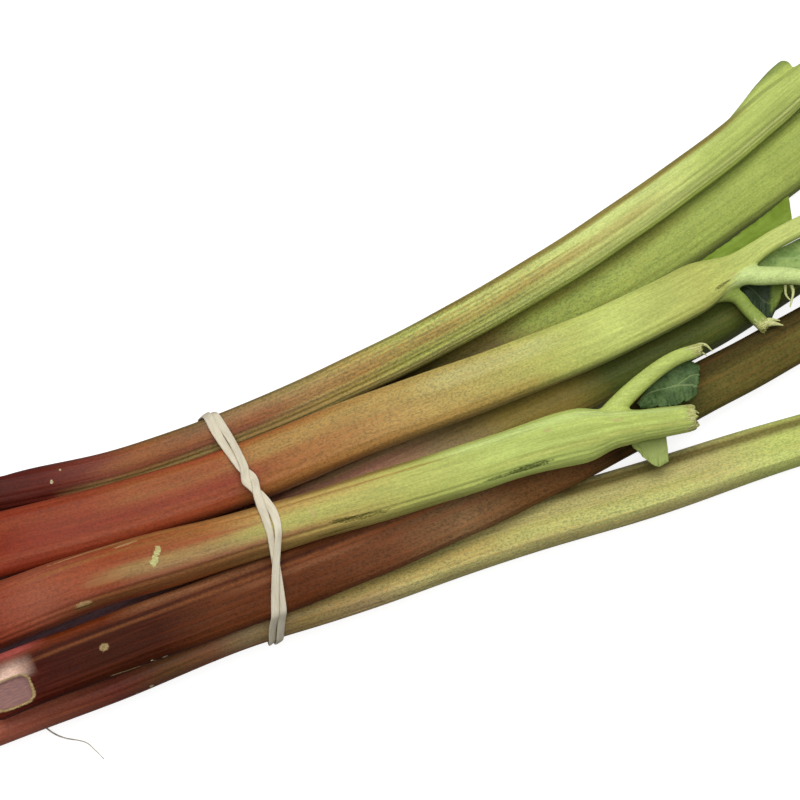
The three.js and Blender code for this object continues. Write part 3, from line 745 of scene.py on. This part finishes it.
# ---- materials ----
class Shader:
    """A small helper that adds and joins shader nodes."""

    def __init__(self, name):
        self.material = bpy.data.materials.new(name)
        self.material.use_nodes = True
        self.tree = self.material.node_tree
        self.tree.nodes.clear()
        self.out = self.tree.nodes.new("ShaderNodeOutputMaterial")

    def node(self, kind, inputs=(), **settings):
        made = self.tree.nodes.new("ShaderNode" + kind)
        for key, value in settings.items():
            setattr(made, key, value)
        for key, value in dict(inputs).items():
            self.put(made.inputs[key], value)
        return made

    def put(self, socket, value):
        """Joins or sets a socket; a word is a colour of the palette."""
        if isinstance(value, str):
            value = colour(value)
        if isinstance(value, bpy.types.NodeSocket):
            self.tree.links.new(value, socket)
        elif isinstance(value, bpy.types.Node):
            self.tree.links.new(value.outputs[0], socket)
        elif hasattr(value, "__len__") and socket.type == "RGBA":
            socket.default_value = (*value[:3], 1.0)
        else:
            socket.default_value = value

    def attribute(self, name, output="Fac"):
        return self.node("Attribute", attribute_name=name).outputs[output]

    def math(self, operation, *values):
        made = self.node("Math", operation=operation)
        for i, value in enumerate(values):
            self.put(made.inputs[i], value)
        return made.outputs[0]

    def times(self, first, second):
        return self.math("MULTIPLY", first, second)

    def plus(self, first, second):
        return self.math("ADD", first, second)

    def minus(self, first, second):
        return self.math("SUBTRACT", first, second)

    def more(self, first, second, share):
        """The first value with a share of the second added."""
        return self.plus(first, self.times(second, share))

    def vector(self, operation, first, second=None):
        made = self.node("VectorMath", operation=operation)
        self.put(made.inputs[0], first)
        if second is not None:
            self.put(made.inputs[1], second)
        return made.outputs["Value" if operation == "LENGTH" else "Vector"]

    def mix(self, share, first, second, blend="MIX"):
        made = self.node("Mix", data_type="RGBA", blend_type=blend)
        self.put(made.inputs["Factor"], share)
        self.put(made.inputs["A"], first)
        self.put(made.inputs["B"], second)
        return made.outputs["Result"]

    def noise(self, vector, scale, detail=2.0, roughness=0.5):
        made = self.node("TexNoise", {"Vector": vector, "Scale": scale, "Detail": detail,
                                      "Roughness": roughness})
        return made.outputs["Fac"]

    def remap(self, value, low, high, to_low=0.0, to_high=1.0, kind="SMOOTHSTEP"):
        made = self.node("MapRange", {"Value": value, "From Min": low, "From Max": high,
                                      "To Min": to_low, "To Max": to_high},
                         interpolation_type=kind)
        return made.outputs["Result"]

    def ramp(self, value, low, high, to_low, to_high):
        return self.remap(value, low, high, to_low, to_high, "LINEAR")

    def dyed(self, first, second):
        """The first colour times the second."""
        return self.mix(1.0, first, second, "MULTIPLY")

    def finish(self, colour_, roughness, bump=None, specular=0.4, **inputs):
        made = self.node("BsdfPrincipled", {"Base Color": colour_, "Roughness": roughness,
                                            "Specular IOR Level": specular})
        for key, value in inputs.items():
            self.put(made.inputs[key.replace("_", " ")], value)
        if bump is not None:
            self.put(made.inputs["Normal"], bump)
        self.tree.links.new(made.outputs[0], self.out.inputs["Surface"])
        return self.material


def spot(sh, straight, stalk, path, s, turn, half_length, half_width, slant, ragged):
    """1 inside a small mark on the skin, 0 outside it, with a ragged edge."""
    width, thick = girth_at(stalk, np.array([float(s)]), path.length)
    u, v = section(np.radians([float(turn)]), width, thick, 0 * width)
    offset = sh.vector("SUBTRACT", straight, (float(u[0]), float(v[0]), float(s)))
    if slant:
        parts = sh.node("SeparateXYZ", {"Vector": offset})
        t = math.radians(turn)
        lean = sh.times(parts.outputs["Z"], slant * 0.12)
        shift = sh.node("CombineXYZ", {"X": sh.times(lean, -math.sin(t)),
                                       "Y": sh.times(lean, math.cos(t))})
        offset = sh.vector("ADD", offset, shift)
    scaled = sh.vector("MULTIPLY", offset, (1 / half_width, 1 / half_width, 1 / half_length))
    size = sh.vector("LENGTH", scaled)
    edge = sh.plus(size, sh.times(sh.minus(ragged, 0.5), 1.5))
    return sh.remap(edge, 1.1, 0.75)


# kind of mark: its colour, its height against the skin, and how solid it is
MARKS = {"pale": ("cream", -0.5, 0.85), "tan": ("buff", 0.7, 0.7), "dark": ("gash", -1.0, 0.85),
         "raw": ("raw", -1.2, 1.0), "scuff": ("scuff", 0.3, 0.35),
         "slit": ("dusk", -1.2, 0.9)}


def skin_material(slot, stalk, look, path, name, seed):
    sh = Shader(slot)
    straight = sh.attribute("straight", "Vector")
    base = sh.attribute("tone", "Color")
    flesh, frayed, speck, scar = map(sh.attribute, ("flesh", "frayed", "speck", "scar"))
    shifted = sh.vector("ADD", straight, (17.0 * seed, 0.0, 0.0))

    def stretched(share):
        return sh.vector("MULTIPLY", shifted, (1.0, 1.0, share))

    fibre = sh.noise(stretched(0.03), 0.95, 3.0, 0.55)
    hair = sh.noise(stretched(0.06), 2.8, 2.0)
    mottle = sh.noise(stretched(0.25), 0.16, 3.0)
    grain = sh.noise(stretched(0.6), 1.5, 2.0, 0.7)
    cells = sh.noise(shifted, 3.4, 1.0)
    rows = sh.remap(fibre, 0.5, 0.64)
    light = sh.ramp(fibre, 0.3, 0.7, 0.88, 1.12)
    light = sh.times(light, sh.ramp(hair, 0.3, 0.7, 0.9, 1.1))
    light = sh.times(light, sh.ramp(mottle, 0.3, 0.7, 0.92, 1.08))
    coarse = sh.plus(sh.times(speck, 0.36), 0.09)
    grainy = sh.ramp(grain, 0.35, 0.65, -1.0, 1.0)
    light = sh.times(light, sh.math("MULTIPLY_ADD", grainy, coarse, 1.0))
    skin = sh.vector("SCALE", base)
    sh.put(skin.node.inputs["Scale"], light)
    ruddy = sh.mix(0.45, skin, "rust")
    skin = sh.mix(sh.times(rows, sh.times(speck, 0.35)), skin, ruddy)
    dots = sh.times(sh.remap(grain, 0.53, 0.61), speck)
    dots = sh.times(dots, sh.ramp(rows, 0.0, 1.0, 0.4, 0.9))
    skin = sh.mix(dots, skin, sh.dyed(skin, (0.68, 0.5, 0.4)))
    glints = sh.times(sh.remap(grain, 0.45, 0.36), speck)
    skin = sh.mix(glints, skin, sh.dyed(skin, (1.2, 1.2, 1.3)))
    height = sh.times(fibre, 0.6)
    height = sh.more(height, hair, 0.3)
    height = sh.more(height, cells, 0.12)
    rough = sh.ramp(cells, 0.2, 0.8, 0.38, 0.52)
    ragged = sh.noise(stretched(0.6), 1.3, 3.0, 0.65)
    for kind, s, turn, half_length, half_width, slant in look["marks"]:
        tint, lift, strength = MARKS[kind]
        share = spot(sh, straight, stalk, path, s, turn, half_length, half_width, slant, ragged)
        share = sh.times(share, strength)
        blend = sh.mix(sh.remap(grain, 0.35, 0.65), tint, sh.mix(0.5, tint, skin))
        skin = sh.mix(share, skin, blend)
        height = sh.more(height, share, lift)
        rough = sh.more(rough, share, 0.15)
    if name == SCARRED:
        edge = sh.plus(scar, sh.times(sh.minus(ragged, 0.5), 0.6))
        rim = sh.times(sh.remap(edge, -0.45, -0.1), sh.remap(edge, 0.4, 0.15))
        inside = sh.mix(sh.remap(hair, 0.35, 0.75, 0.0, 0.35), "plum", "rosewood")
        skin = sh.mix(sh.remap(edge, 0.2, 0.4), skin, inside)
        rim = sh.times(rim, 0.85)
        skin = sh.mix(rim, skin, sh.mix(sh.remap(ragged, 0.4, 0.6), "sand", "buff"))
    pith = sh.noise(stretched(0.3), 2.4, 2.0)
    inner = sh.mix(sh.remap(pith, 0.4, 0.62), "cream", "leaf")
    skin = sh.mix(flesh, skin, inner)
    torn = sh.plus(frayed, sh.ramp(hair, 0.3, 0.7, -0.5, 0.5))
    torn = sh.times(sh.remap(torn, 0.3, 0.7), sh.remap(frayed, 0.0, 0.2))
    fray = sh.mix(sh.remap(hair, 0.38, 0.6), "frayed", "husk")
    fray = sh.mix(sh.remap(grain, 0.55, 0.65, 0.0, 0.3), fray, "gash")
    skin = sh.mix(torn, skin, fray)
    height = sh.plus(height, sh.times(torn, sh.times(hair, 2.0)))
    rough = sh.more(rough, torn, 0.2)
    bump = sh.node("Bump", {"Height": height, "Strength": 0.6, "Distance": 0.0003})
    return sh.finish(skin, rough, bump, look["sheen"])


# ---- rubber band ----
def band_x(y, z):
    return BAND_X + BAND_SKEW * y + BAND_BULGE * (z / BUNCH_HEIGHT) ** 2


def outline_at_band(stalk):
    """The stalk's outline (y, z) where the leaning band crosses it."""
    path = Path(stalk["path"], stalk["roll"])
    s = np.linspace(0, path.length, 1500)
    middle = path.bend(np.stack([0 * s, 0 * s, s], 1))
    here = s[np.argmin(np.abs(middle[:, 0] - band_x(middle[:, 1], middle[:, 2])))]
    turn = np.linspace(0, 2 * math.pi, 96, endpoint=False)
    width, thick = girth_at(stalk, np.full(96, here), path.length)
    u, v = section(turn, width, thick, 0 * turn)
    return path.bend(np.stack([u, v, np.full(96, here)], 1))[:, 1:]


def convex_hull(points):
    ordered = sorted(map(tuple, points))

    def chain(items):
        hull = []
        for p in items:
            while len(hull) > 1:
                (ax, ay), (bx, by) = hull[-2], hull[-1]
                if (bx - ax) * (p[1] - ay) - (by - ay) * (p[0] - ax) > 0:
                    break
                hull.pop()
            hull.append(p)
        return hull[:-1]

    return np.array(chain(ordered) + chain(ordered[::-1]))


def band_walk(steps):
    """Points (y, z) at equal steps round the stalks, and the way out at each."""
    hull = convex_hull(np.concatenate([outline_at_band(stalk) for stalk in STALKS.values()]))
    closed = np.vstack([hull, hull[:1]])
    walk = evenly(closed, steps + 1)[0][:-1]
    along = unit(np.roll(walk, -3, 0) - np.roll(walk, 3, 0))
    return walk, np.stack([along[:, 1], -along[:, 0]], 1)


BAND_STEPS = 520
STRAND_SIDES = 20
BAND_MIDDLE, BAND_HALF = -17, 44  # across the bunch
STRAND_CLEAR = 0.3  # between a stalk and the strand that lies on it
STRAND_RUN = 110.0  # pattern length for each radian of the winding


def half_twists(share):
    """Half twists of the two turns about each other; they cross at each whole and a half."""
    count = len(BAND_CROSSINGS)
    stations = [k + at for k in (-1, 0, 1, 2) for at in BAND_CROSSINGS]
    passed = np.arange(len(stations)) - count + 0.5
    knots = np.interp(share[:, None] + np.linspace(-0.012, 0.012, 9), stations, passed)
    return knots.mean(1)


def build_band():
    """One closed strand, twice round the stalks, its two turns twisted about each other."""
    walk, out = band_walk(BAND_STEPS)
    rings = 2 * BAND_STEPS
    r = np.arange(rings)
    y, z = walk[r % BAND_STEPS].T
    out_y, out_z = out[r % BAND_STEPS].T
    go = 2 * math.pi * r / rings
    twist = math.pi * half_twists(r / BAND_STEPS)
    wander = 0.2 * np.sin(3 * go + 1.0) + 0.1 * np.sin(7 * go)
    bow = BAND_BOW * ((y - BAND_MIDDLE) / BAND_HALF) ** 2
    sway = STRAND_SWAY * np.cos(twist) + wander - bow
    lift = STRAND_THICK / 2 + STRAND_CLEAR + STRAND_LIFT * clamp(np.sin(twist))
    tilt = -STRAND_TILT * np.sin(2 * twist) + 0.08 * np.sin(5 * go + 2)
    width = STRAND_WIDTH * (1 + 0.06 * np.sin(4 * go + 0.7))
    turn = turns(STRAND_SIDES)
    c, s = np.cos(turn), np.sin(turn)
    flat = 0.5 * np.sign(c) * np.abs(c) ** 0.5
    thick = 0.5 * np.sign(s) * np.abs(s) ** 0.6 * (1 - 0.18 * np.cos(turn) ** 2)
    across = flat[None] * width[:, None]
    outward = thick[None] * STRAND_THICK * 1.15
    lean = across * np.cos(tilt)[:, None] - outward * np.sin(tilt)[:, None]
    reach = across * np.sin(tilt)[:, None] + outward * np.cos(tilt)[:, None] + lift[:, None]
    points_y = y[:, None] + out_y[:, None] * reach
    points_z = z[:, None] + out_z[:, None] * reach
    points_x = band_x(points_y, points_z) + sway[:, None] + lean
    points = np.stack([points_x, points_y, np.maximum(points_z, 0.02)], -1)
    faces = rings_to_faces((rings + 1, STRAND_SIDES))[:-2]
    faces = [[k % (rings * STRAND_SIDES) for k in face] for face in faces]
    mesh = new_mesh("rubber_band", points * MM, faces)
    along = np.repeat(go * STRAND_RUN, STRAND_SIDES)
    place = np.stack([np.tile(flat * STRAND_WIDTH, rings), np.tile(thick, rings), along], 1)
    store(mesh, "straight", "FLOAT_VECTOR", place)
    mesh.materials.append(rubber_material())
    mesh.flip_normals()
    return add_piece("rubber_band_twisted", mesh, ["rubber_band"])


def rubber_material():
    sh = Shader("band_rubber")
    straight = sh.attribute("straight", "Vector")
    dust = sh.noise(straight, 1.3, 3.0, 0.6)
    lines = sh.noise(sh.vector("MULTIPLY", straight, (3.0, 3.0, 0.12)), 1.2, 3.0)
    stain = sh.noise(sh.vector("MULTIPLY", straight, (0.3, 0.3, 0.06)), 1.0, 2.0)
    base = sh.mix(sh.remap(lines, 0.3, 0.75), "rubber", "rubber_line")
    base = sh.mix(sh.remap(stain, 0.45, 0.75, 0.0, 0.5), base, "rubber_stain")
    base = sh.mix(sh.remap(dust, 0.55, 0.75, 0.0, 0.3), base, "rubber_dust")
    height = sh.plus(sh.times(lines, 0.5), sh.times(dust, 0.6))
    bump = sh.node("Bump", {"Height": height, "Strength": 0.35, "Distance": 0.00012})
    return sh.finish(base, 0.6, bump, 0.2)


# ---- torn scraps of leaf ----
# rails: the long edges, from the fork outwards. wave: its height. torn: how far the free
# edge is torn away, as a share of the width. veins: how strongly its veins show.
BLADES = {
    "leaf_c_back": dict(
        rails=[[(112, 9.5, 17), (133.5, 12, 18), (145, 12.9, 19.5), (158.1, 13.5, 20)],
               [(113, 14.2, 15), (122, 16.8, 14.3), (131.2, 19.2, 13.4), (139, 21.3, 12.8),
               (153.5, 25.3, 12.2), (166.2, 29, 12)]],
        wave=0.5, torn=0.0, shade=("leaf_bright", "leaf_fresh"), veins=0.0, seed=1,
    ),
    "leaf_c_middle": dict(
        rails=[[(128.5, 5, 18.9), (137, 6, 19.2), (146, 5.7, 19.7), (157.7, 6.4, 20),
               (169.8, 7.1, 20.2)], [(128, 2, 18.7), (134, 0.2, 19.4), (141.1, -2.8, 20.5),
               (149.5, -8.6, 20.8), (156.4, -14.6, 21)]],
        wave=0.9, torn=0.0, shade=("leaf_pale", "leaf_dull"), veins=0.4, seed=2,
    ),
    "leaf_c_front": dict(
        rails=[[(126.5, -2.9, 20.2), (134.5, -6.2, 20.8), (141.5, -10.4, 21.2)], [(123.5, -7.6, 18),
               (124.5, -13.5, 16.8), (127.5, -20, 16.6), (131.5, -20.2, 17.8), (136, -16.4, 19.4)]],
        wave=0.9, torn=0.06, shade=("leaf_night", "leaf_olive"), veins=0.1, seed=3, lobe=(0.62, 0.75),
    ),
    "leaf_e_upper": dict(
        rails=[[(59.8, -36.6, 32.4), (66.9, -32.6, 32.6), (77.4, -28.9, 33), (86, -28.7, 33.2),
               (89.4, -32.5, 33)], [(60.2, -39, 31.4), (64.6, -40.4, 31.2), (71.5, -42.4, 31),
               (77.5, -43.6, 31), (83.9, -42.3, 31)]],
        wave=1.1, torn=0.025, shade=("leaf_dark", "leaf_grey"), veins=0.3, seed=4,
    ),
    "leaf_e_lower": dict(
        rails=[[(51.2, -47.8, 27.6), (57.2, -50.5, 27.6), (65.4, -52.2, 27.6)], [(51.4, -50.5, 27.2),
               (54.2, -57, 26), (57, -61.4, 25), (62.3, -61.4, 24.8)]],
        wave=0.5, torn=0.0, shade=("leaf_mid", "leaf_mid"), veins=0.0, seed=5,
    ),
}
BLADE_THICK = 0.6
BLADE_STEPS, BLADE_ROWS = 90, 64


def build_blade(name, blade):
    """A scrap between its two rails, as a thin closed sheet, wavy and ragged where torn."""
    steps, rows = BLADE_STEPS, BLADE_ROWS
    draw = np.random.default_rng(blade["seed"])
    rails = [evenly(catmull_rom(rail), steps + 1)[0] for rail in blade["rails"]]
    u, v = np.meshgrid(np.linspace(0, 1, steps + 1), np.linspace(0, 1, rows + 1), indexing="ij")

    def frilled(along, waves):
        return sum(draw.uniform(0.3, 1) * np.sin(k * math.pi * along + draw.uniform(0, 6))
                   for k in waves)

    frill = frilled(u, (5, 9, 14, 23))
    end_frill = frilled(v, (4, 7, 12, 19))
    reach = v * (1 - blade["torn"] * (0.6 + 0.4 * frill) * v)
    run = u * (1 - 0.6 * blade["torn"] * (0.5 + 0.4 * end_frill) * u)
    where = run * steps
    low = np.clip(where.astype(int), 0, steps - 1)
    part = (where - low)[..., None]
    lines = [rail[low] * (1 - part) + rail[low + 1] * part for rail in rails]
    points = lines[0] * (1 - reach[..., None]) + lines[1] * reach[..., None]
    wave = blade["wave"]
    points[..., 2] += wave * np.sin(math.pi * v) * np.sin(2.4 * math.pi * u + 1.5 * v)
    points[..., 2] += 0.22 * np.sin(9 * u + 7 * v + blade["seed"]) * np.sin(8 * v - 5 * u)
    points[..., 2] += 0.3 * v ** 3 * frill
    du = np.gradient(points, axis=0)
    dv = np.gradient(points, axis=1)
    normal = unit(np.cross(du, dv))
    edge = np.minimum(np.minimum(u, 1 - u) * 14, np.minimum(v, 1 - v) * 10)
    half = (BLADE_THICK / 2 * np.sqrt(np.clip(edge, 0.05, 1)))[..., None]
    both = np.stack([points + normal * half, points - normal * half])
    count = (steps + 1) * (rows + 1)
    grid = np.arange(count).reshape(steps + 1, rows + 1)
    top = np.stack([grid[:-1, :-1], grid[1:, :-1], grid[1:, 1:], grid[:-1, 1:]], -1).reshape(-1, 4)
    faces = top.tolist() + (top[:, ::-1] + count).tolist()
    border = [*grid[:, 0], *grid[-1, 1:], *grid[-2::-1, -1], *grid[0, -2:0:-1]]
    for a, b in zip(border, border[1:] + border[:1]):
        faces.append([b, a, a + count, b + count])
    mesh = new_mesh(name, both.reshape(-1, 3) * MM, faces)
    store(mesh, "straight", "FLOAT_VECTOR", np.tile(np.stack([u, v, 0 * u], -1).reshape(-1, 3), (2, 1)))
    mesh.materials.append(leaf_material(name, blade))
    return add_piece(name + "_torn", mesh, [name])


def leaf_material(name, blade):
    sh = Shader("leaf_blade_" + name)
    place = sh.attribute("straight", "Vector")
    spread = sh.node("TexCoord").outputs["Object"]
    parts = sh.node("SeparateXYZ", {"Vector": place})
    u, v = parts.outputs["X"], parts.outputs["Y"]
    blotch = sh.noise(spread, 160.0, 3.0, 0.6)
    crinkle = sh.noise(spread, 700.0, 3.0, 0.6)
    warp = sh.times(sh.minus(blotch, 0.5), 0.12)
    first = sh.plus(sh.minus(v, sh.times(u, 0.62)), warp)
    second = sh.plus(sh.minus(v, sh.times(u, -0.5)), warp)
    line_a = sh.math("ABSOLUTE", sh.minus(first, 0.12))
    line_b = sh.math("ABSOLUTE", sh.minus(second, 0.85))
    branch = sh.times(sh.remap(line_b, 0.03, 0.01), sh.remap(u, 0.6, 0.66))
    veins = sh.math("MAXIMUM", sh.remap(line_a, 0.035, 0.012), branch)
    net = sh.node("TexVoronoi", {"Vector": spread, "Scale": 420.0}, feature="DISTANCE_TO_EDGE")
    web = sh.times(sh.remap(net.outputs["Distance"], 0.12, 0.02), 0.15)
    drawn = sh.times(sh.math("MAXIMUM", veins, web), blade["veins"])
    puffed = sh.remap(net.outputs["Distance"], 0.0, 0.4)
    share = sh.remap(blotch, 0.35, 0.65)
    if "lobe" in blade:
        low, high = blade["lobe"]
        share = sh.times(sh.remap(sh.plus(u, warp), low, high), sh.remap(v, 0.95, 0.7))
    base = sh.mix(share, *blade["shade"])
    base = sh.mix(sh.remap(crinkle, 0.4, 0.7, 0.0, 0.3), base, sh.dyed(base, (0.7, 0.74, 0.7)))
    base = sh.mix(drawn, base, "leaf_vein")
    height = sh.plus(sh.times(crinkle, 0.5), drawn)
    height = sh.plus(height, sh.times(puffed, 2.2 * blade["veins"]))
    bump = sh.node("Bump", {"Height": height, "Strength": 0.8, "Distance": 0.0004})
    return sh.finish(base, 0.55, bump, 0.2)


# ---- root hair ----
HAIR_PATH = [(-199.7, -55, 4.2), (-197, -59.6, 2.6), (-193.5, -63, 0.9), (-187, -67.5, 0.7),
             (-184.3, -72.4, 0.7), (-182.8, -76, 0.7)]
HAIR_RADII = (0.34, 0.16)


def build_hair():
    rings = tube(HAIR_PATH, HAIR_RADII, sides=10, step=0.25, tip=0.6)
    rings[..., 2] = np.maximum(rings[..., 2], 0.05)
    mesh = new_mesh("root_hair", rings * MM, rings_to_faces(rings.shape))
    sh = Shader("root_fibre")
    spread = sh.node("TexCoord").outputs["Object"]
    stain = sh.noise(spread, 400.0, 3.0)
    base = sh.mix(sh.remap(stain, 0.35, 0.65), "fibre_dark", "fibre")
    bump = sh.node("Bump", {"Height": stain, "Strength": 0.4, "Distance": 0.0001})
    mesh.materials.append(sh.finish(base, 0.7, bump, 0.2))
    return add_piece("root_hair_thread", mesh, ["root_hair"])


for number, stalk_name in enumerate(STALKS):
    build_stalk(stalk_name, number + 1)
build_band()
for blade_name, blade in BLADES.items():
    build_blade(blade_name, blade)
build_hair()


# ---- floor, light and camera ----
SKY_STRENGTH = 0.23
KEY_POWER, FILL_POWER = 10.8, 4.0  # watts
FLOOR_HALF = 6.0  # metres
FLOOR_GLOW = 0.82  # keeps the surface under the bunch as white as in the photograph


def build_floor():
    mesh = new_mesh("floor", np.array([(-1, -1, 0), (1, -1, 0), (1, 1, 0), (-1, 1, 0)]) * FLOOR_HALF,
                    [(0, 1, 2, 3)])
    sh = Shader("floor_white")
    spread = sh.node("TexCoord").outputs["Object"]
    tint = sh.mix(sh.noise(spread, 3.0), (0.42, 0.42, 0.42), (0.44, 0.44, 0.44))
    mesh.materials.append(sh.finish(tint, 0.9, None, 0.0, Emission_Color=(1, 1, 1),
                                    Emission_Strength=FLOOR_GLOW))
    floor = placed("floor", mesh)
    floor.visible_diffuse = floor.visible_glossy = False


def area_light(name, place, size, power):
    """A square-cornered lamp that points at the middle of the bunch's footprint."""
    lamp = bpy.data.lights.new(name, "AREA")
    lamp.shape = "RECTANGLE"
    lamp.size, lamp.size_y = size
    lamp.energy = power
    light = placed(name, lamp)
    light.location = place
    light.rotation_euler = (-Vector(place)).to_track_quat("-Z", "Y").to_euler()


build_floor()
world = bpy.data.worlds.new("studio")
world.use_nodes = True
sky = world.node_tree.nodes["Background"].inputs
sky["Color"].default_value = (1, 1, 1, 1)
sky["Strength"].default_value = SKY_STRENGTH
bpy.context.scene.world = world
area_light("key", (0.05, 0.25, 1.2), (1.1, 0.7), KEY_POWER)
area_light("fill", (-0.2, -0.35, 1.1), (0.5, 0.5), FILL_POWER)
bpy.context.scene.view_settings.view_transform = "Standard"

CAMERA_AZIMUTH, CAMERA_ELEVATION = -23.6, 68.0
CAMERA_LENS, CAMERA_SENSOR, CAMERA_AWAY = 85.0, 36.0, 0.75556
AIM = Vector((-0.023, 0.0065, 0.020))
azimuth, elevation = math.radians(CAMERA_AZIMUTH), math.radians(CAMERA_ELEVATION)
back = Vector((math.sin(azimuth) * math.cos(elevation),
               -math.cos(azimuth) * math.cos(elevation), math.sin(elevation)))
camera_data = bpy.data.cameras.new("camera")
camera_data.lens, camera_data.sensor_width = CAMERA_LENS, CAMERA_SENSOR
camera = placed("camera", camera_data)
camera.location = AIM + back * CAMERA_AWAY
camera.rotation_euler = back.to_track_quat("Z", "Y").to_euler()
camera_data.clip_start, camera_data.clip_end = 0.05, 20.0
bpy.context.scene.camera = camera
